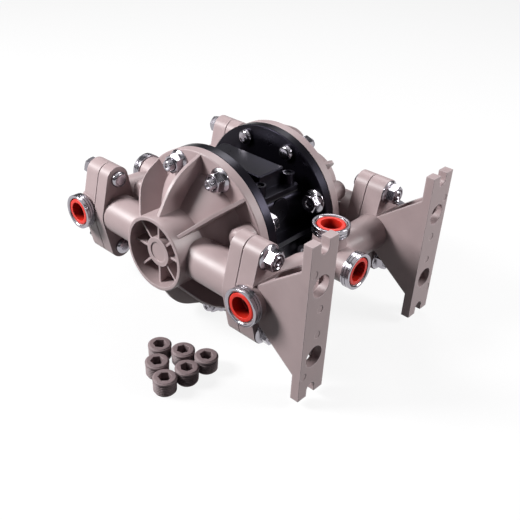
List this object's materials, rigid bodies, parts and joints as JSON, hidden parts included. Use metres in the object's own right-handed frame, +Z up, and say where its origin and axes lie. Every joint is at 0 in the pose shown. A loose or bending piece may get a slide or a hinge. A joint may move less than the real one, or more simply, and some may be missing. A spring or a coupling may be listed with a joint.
{
  "type": "air operated diaphragm pump",
  "caption": "Air operated double diaphragm pump: two ribbed round fluid caps bolted to a black centre body, tubular manifolds with capped ports, tall mounting feet and loose plugs",
  "frame": {"origin": "centre of the four round foot holes, on the mounting face of the two foot strips", "axes": "+X is the outward normal of the mounting face, and the long side of the pump runs along X. +Z is up as the pump lies on its side, +Y is away from the front fluid cap"},
  "size_m": [0.2895, 0.2682, 0.151],
  "materials": {
    "taupe_polypropylene": "moulded glass filled polypropylene, satin, slightly pink grey-brown",
    "black_polypropylene": "moulded black polypropylene, satin with a faint violet sheen",
    "polished_stainless": "machined and polished stainless steel",
    "turned_stainless": "turned stainless steel",
    "red_polyethylene": "soft moulded polyethylene, bright red",
    "grey_nylon": "rough moulded plastic with fine threads",
    "white_ptfe": "smooth white PTFE",
    "black_nitrile": "moulded nitrile rubber",
    "machined_aluminium": "machined aluminium"
  },
  "bodies": {
    "root": {"air_cover_front": "black_polypropylene", "air_cover_rear": "black_polypropylene", "air_inlet_fitting": "black_polypropylene", "air_valve_cover": "black_polypropylene", "ball_seats": "taupe_polypropylene", "cap_bolts_front": "polished_stainless", "cap_bolts_rear": "polished_stainless", "cap_nuts_front": "polished_stainless", "cap_nuts_rear": "polished_stainless", "centre_body": "black_polypropylene", "exhaust_fitting": "black_polypropylene", "fluid_cap_front": "taupe_polypropylene", "fluid_cap_rear": "taupe_polypropylene", "inlet_manifold": "taupe_polypropylene", "manifold_bolts": "polished_stainless", "manifold_nuts": "polished_stainless", "outlet_manifold": "taupe_polypropylene", "pilot_seals": "black_nitrile", "port_rings": "polished_stainless", "seat_seals": "white_ptfe", "shaft_bushings": "white_ptfe", "shaft_seals": "black_nitrile", "spool_end_caps": "black_polypropylene", "spool_sleeve": "machined_aluminium", "valve_cover_screws": "turned_stainless", "valve_gasket": "black_nitrile"},
    "shaft_assembly": {"shaft": "turned_stainless", "diaphragm_screws": "turned_stainless", "inner_washer_front": "machined_aluminium", "inner_washer_rear": "machined_aluminium", "diaphragm_front": "white_ptfe", "diaphragm_rear": "white_ptfe", "outer_washer_front": "taupe_polypropylene", "outer_washer_rear": "taupe_polypropylene"},
    "pilot": {"pilot_rod": "turned_stainless"},
    "spool": {"valve_spool": "machined_aluminium"},
    "inlet_ball_front": {"inlet_ball_front": "white_ptfe"},
    "inlet_ball_rear": {"inlet_ball_rear": "white_ptfe"},
    "outlet_ball_front": {"outlet_ball_front": "white_ptfe"},
    "outlet_ball_rear": {"outlet_ball_rear": "white_ptfe"},
    "port_cap_inlet_front": {"port_cap_inlet_front": "red_polyethylene"},
    "port_cap_inlet_rear": {"port_cap_inlet_rear": "red_polyethylene"},
    "port_cap_inlet_side": {"port_cap_inlet_side": "red_polyethylene"},
    "port_cap_inlet_top": {"port_cap_inlet_top": "red_polyethylene"},
    "port_cap_outlet_front": {"port_cap_outlet_front": "red_polyethylene"},
    "port_cap_outlet_rear": {"port_cap_outlet_rear": "red_polyethylene"},
    "port_cap_outlet_side": {"port_cap_outlet_side": "red_polyethylene"},
    "port_cap_outlet_bottom": {"port_cap_outlet_bottom": "red_polyethylene"},
    "pipe_plug_1": {"pipe_plug_1": "grey_nylon"},
    "pipe_plug_2": {"pipe_plug_2": "grey_nylon"},
    "pipe_plug_3": {"pipe_plug_3": "grey_nylon"},
    "pipe_plug_4": {"pipe_plug_4": "grey_nylon"},
    "pipe_plug_5": {"pipe_plug_5": "grey_nylon"},
    "pipe_plug_6": {"pipe_plug_6": "grey_nylon"}
  },
  "joints": [
    {"name": "shaft_stroke", "type": "slide", "parent": "root", "child": "shaft_assembly", "axis": [0, 1, 0], "range_m": [-0.008, 0.008], "deforming": ["diaphragm_front", "diaphragm_rear"]},
    {"name": "pilot_shift", "type": "slide", "parent": "root", "child": "pilot", "axis": [0, 1, 0], "range_m": [-0.003, 0.003]},
    {"name": "spool_shift", "type": "slide", "parent": "root", "child": "spool", "axis": [1, 0, 0], "range_m": [-0.004, 0.004]},
    {"name": "inlet_ball_front_lift", "type": "slide", "parent": "root", "child": "inlet_ball_front", "axis": [-1, 0, 0], "range_m": [0, 0.006]},
    {"name": "inlet_ball_rear_lift", "type": "slide", "parent": "root", "child": "inlet_ball_rear", "axis": [-1, 0, 0], "range_m": [0, 0.006]},
    {"name": "outlet_ball_front_lift", "type": "slide", "parent": "root", "child": "outlet_ball_front", "axis": [-1, 0, 0], "range_m": [0, 0.006]},
    {"name": "outlet_ball_rear_lift", "type": "slide", "parent": "root", "child": "outlet_ball_rear", "axis": [-1, 0, 0], "range_m": [0, 0.006]},
    {"name": "port_cap_inlet_front_pull", "type": "slide", "parent": "root", "child": "port_cap_inlet_front", "axis": [0, -1, 0], "range_m": [0, 0.03]},
    {"name": "port_cap_inlet_rear_pull", "type": "slide", "parent": "root", "child": "port_cap_inlet_rear", "axis": [0, 1, 0], "range_m": [0, 0.03]},
    {"name": "port_cap_inlet_side_pull", "type": "slide", "parent": "root", "child": "port_cap_inlet_side", "axis": [1, 0, 0], "range_m": [0, 0.03]},
    {"name": "port_cap_inlet_top_pull", "type": "slide", "parent": "root", "child": "port_cap_inlet_top", "axis": [0, 0, 1], "range_m": [0, 0.03]},
    {"name": "port_cap_outlet_front_pull", "type": "slide", "parent": "root", "child": "port_cap_outlet_front", "axis": [0, -1, 0], "range_m": [0, 0.03]},
    {"name": "port_cap_outlet_rear_pull", "type": "slide", "parent": "root", "child": "port_cap_outlet_rear", "axis": [0, 1, 0], "range_m": [0, 0.03]},
    {"name": "port_cap_outlet_side_pull", "type": "slide", "parent": "root", "child": "port_cap_outlet_side", "axis": [-1, 0, 0], "range_m": [0, 0.03]},
    {"name": "port_cap_outlet_bottom_pull", "type": "slide", "parent": "root", "child": "port_cap_outlet_bottom", "axis": [0, 0, -1], "range_m": [0, 0.03]},
    {"name": "pipe_plug_1_lift", "type": "slide", "parent": "root", "child": "pipe_plug_1", "axis": [0, 0, 1], "range_m": [0, 0.03]},
    {"name": "pipe_plug_2_lift", "type": "slide", "parent": "root", "child": "pipe_plug_2", "axis": [0, 0, 1], "range_m": [0, 0.03]},
    {"name": "pipe_plug_3_lift", "type": "slide", "parent": "root", "child": "pipe_plug_3", "axis": [0, 0, 1], "range_m": [0, 0.03]},
    {"name": "pipe_plug_4_lift", "type": "slide", "parent": "root", "child": "pipe_plug_4", "axis": [0, 0, 1], "range_m": [0, 0.03]},
    {"name": "pipe_plug_5_lift", "type": "slide", "parent": "root", "child": "pipe_plug_5", "axis": [0, 0, 1], "range_m": [0, 0.03]},
    {"name": "pipe_plug_6_lift", "type": "slide", "parent": "root", "child": "pipe_plug_6", "axis": [0, 0, 1], "range_m": [0, 0.03]}
  ],
  "couplings": [
    {"joint": "pilot_shift", "follows": "shaft_stroke", "ratio": 0.375}
  ]
}
